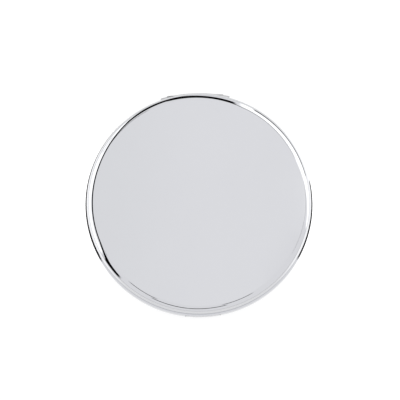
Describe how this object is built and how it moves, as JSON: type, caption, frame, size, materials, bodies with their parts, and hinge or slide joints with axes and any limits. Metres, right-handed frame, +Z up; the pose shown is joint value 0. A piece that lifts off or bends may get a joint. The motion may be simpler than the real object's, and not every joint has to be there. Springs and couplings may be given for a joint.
{
  "type": "coin display frame",
  "caption": "Round polished metal coin display frame: a hinged shell case with push-button catch, holding a capsuled coin in a screwed ring over a flocked tray.",
  "frame": {"origin": "middle of the underside, on the surface that the felt pad rests on", "axes": "+Z up through the closed case, +Y to the hinge at the back, -Y to the push button in front, +X to the right"},
  "size_m": [0.08, 0.0807, 0.0099],
  "materials": {
    "polished_plate": "mirror-polished plate",
    "polished_ring": "polished, turned",
    "strip_steel": "plated strip, soldered",
    "pin_steel": "drawn wire",
    "screw_steel": "slotted heads, turned",
    "spring_steel": "tempered strip",
    "rivet_brass": "set rivets",
    "coin_metal": "struck, frosted relief on a polished field",
    "clear_acrylic": "clear, polished",
    "foam": "closed-cell foam",
    "flocked_tray": "flocked",
    "velvet": "short-pile velvet",
    "felt": "pressed felt",
    "card": "plain"
  },
  "bodies": {
    "base": {"base_shell": "polished_plate", "felt_pad": "felt", "register_ring": "strip_steel", "base_hinge_leaf": "strip_steel", "hinge_pin": "pin_steel", "hinge_guard": "strip_steel", "display_tray": "flocked_tray", "display_ring": "polished_ring", "ring_screws": "screw_steel", "capsule_base": "clear_acrylic", "capsule_cover": "clear_acrylic", "capsule_gasket": "foam", "coin": "coin_metal", "catch_spring": "spring_steel", "spring_rivets": "rivet_brass"},
    "lid": {"lid_shell": "polished_plate", "lid_hinge_leaf": "strip_steel", "catch_plate": "strip_steel", "catch_rivets": "rivet_brass", "cushion_card": "card", "lid_cushion": "velvet", "cushion_ring": "polished_ring"},
    "button": {"push_button": "polished_plate"}
  },
  "joints": [
    {"name": "lid_hinge", "type": "hinge", "parent": "base", "child": "lid", "pos_m": [0, 0.0387, 0.00528], "axis": [-1, 0, 0], "range_deg": [0, 110], "deforming": ["catch_spring"]},
    {"name": "button_travel", "type": "slide", "parent": "base", "child": "button", "axis": [0, 1, 0], "range_m": [0, 0.0008], "stiffness_N_per_m": 2500, "springref_m": -0.0004, "deforming": ["catch_spring"]}
  ]
}
